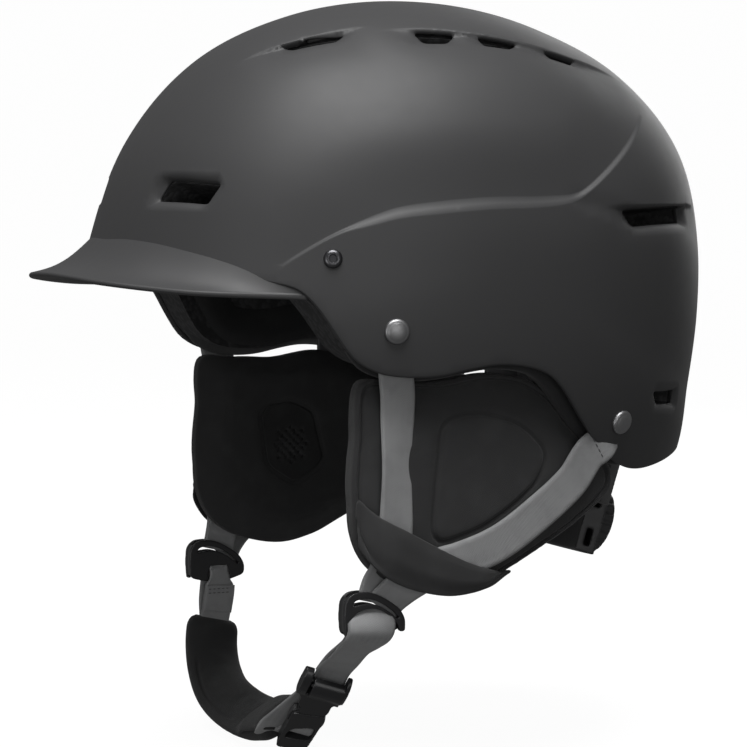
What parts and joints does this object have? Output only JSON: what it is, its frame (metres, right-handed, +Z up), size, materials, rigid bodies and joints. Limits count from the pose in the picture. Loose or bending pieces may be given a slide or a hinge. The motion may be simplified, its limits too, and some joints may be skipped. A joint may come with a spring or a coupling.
{
  "type": "ski helmet",
  "caption": "Hard-shell ski helmet with a short brim, vents, soft ear pads, webbing harness, buckled chin strap with padded chin sleeve and a rear size dial.",
  "frame": {"origin": "middle of the wearer's head, on the centre plane, inside the shell between the ears and below the crown", "axes": "+Z up to the crown, -Y the way the wearer looks, +X the wearer's left"},
  "size_m": [0.22, 0.2817, 0.3158],
  "materials": {
    "shell": "matte",
    "foam": "matte",
    "trim": "satin",
    "pad_fabric": "woven",
    "mesh": "perforated",
    "webbing": "woven",
    "lining": "brushed",
    "rivet": "brushed",
    "screw": "satin",
    "dial_grip": "satin",
    "dark_plastic": "satin",
    "chin_fabric": "smooth"
  },
  "bodies": {
    "helmet": {"arm_guide_left": "dark_plastic", "arm_guide_right": "dark_plastic", "brow_pad": "lining", "brow_screw_left": "screw", "brow_screw_right": "screw", "crown_pad": "lining", "dial_collar": "dark_plastic", "dial_hanger": "dark_plastic", "dial_housing": "dark_plastic", "ear_clip_left": "dark_plastic", "ear_clip_right": "dark_plastic", "ear_mesh_left": "mesh", "ear_mesh_right": "mesh", "ear_pad_left": "pad_fabric", "ear_pad_right": "pad_fabric", "ear_panel_left": "pad_fabric", "ear_panel_right": "pad_fabric", "ear_sleeve_left": "pad_fabric", "ear_sleeve_right": "pad_fabric", "edge_trim_front": "trim", "edge_trim_rear": "trim", "foam_liner": "foam", "front_strap_left": "webbing", "front_strap_right": "webbing", "guide_stay_left": "dark_plastic", "guide_stay_right": "dark_plastic", "nape_pad": "lining", "outer_shell": "shell", "rear_strap_left": "webbing", "rear_strap_right": "webbing", "rivet_front_left": "rivet", "rivet_front_right": "rivet", "rivet_rear_left": "rivet", "rivet_rear_right": "rivet", "side_pad_left": "lining", "side_pad_right": "lining", "strap_fold_left": "webbing", "strap_fold_right": "webbing"},
    "chin_loop": {"buckle_plug": "dark_plastic", "buckle_socket": "dark_plastic", "chin_pad": "chin_fabric", "chin_web_buckle": "webbing", "chin_web_left": "webbing", "chin_web_right": "webbing", "strap_divider_left": "dark_plastic", "strap_divider_right": "dark_plastic"},
    "dial_knob": {"dial": "dial_grip", "dial_pinion": "dark_plastic"},
    "arm_left": {"rack_arm_left": "dark_plastic"},
    "arm_right": {"rack_arm_right": "dark_plastic"},
    "tab_front": {"buckle_tab_front": "dark_plastic"},
    "tab_rear": {"buckle_tab_rear": "dark_plastic"}
  },
  "joints": [
    {"name": "dial_turn", "type": "hinge", "parent": "helmet", "child": "dial_knob", "pos_m": [0, 0.087, -0.098], "axis": [0, 0.9511, -0.309], "range_deg": [-120, 120]},
    {"name": "arm_left_slide", "type": "hinge", "parent": "helmet", "child": "arm_left", "pos_m": [0, 0.0014, -0.07019], "axis": [0, 0.309, 0.9511], "range_deg": [-8.05, 8.05]},
    {"name": "arm_right_slide", "type": "hinge", "parent": "helmet", "child": "arm_right", "pos_m": [0, 0.0014, -0.07019], "axis": [0, 0.309, 0.9511], "range_deg": [-8.05, 8.05]},
    {"name": "chin_strap_swing", "type": "hinge", "parent": "helmet", "child": "chin_loop", "pos_m": [0, -0.0485, -0.129], "axis": [1, 0, 0], "range_deg": [-15, 15]},
    {"name": "release_tab_front", "type": "hinge", "parent": "chin_loop", "child": "tab_front", "pos_m": [0.03199, -0.05686, -0.16353], "axis": [0.6442, -0.3841, -0.6614], "range_deg": [0, 7], "stiffness_Nm_per_rad": 0.8},
    {"name": "release_tab_rear", "type": "hinge", "parent": "chin_loop", "child": "tab_rear", "pos_m": [0.03519, -0.04487, -0.16738], "axis": [0.6442, -0.3841, -0.6614], "range_deg": [-7, 0], "stiffness_Nm_per_rad": 0.8}
  ],
  "couplings": [
    {"joint": "arm_left_slide", "follows": "dial_turn", "ratio": -0.066667},
    {"joint": "arm_right_slide", "follows": "dial_turn", "ratio": 0.066667}
  ]
}
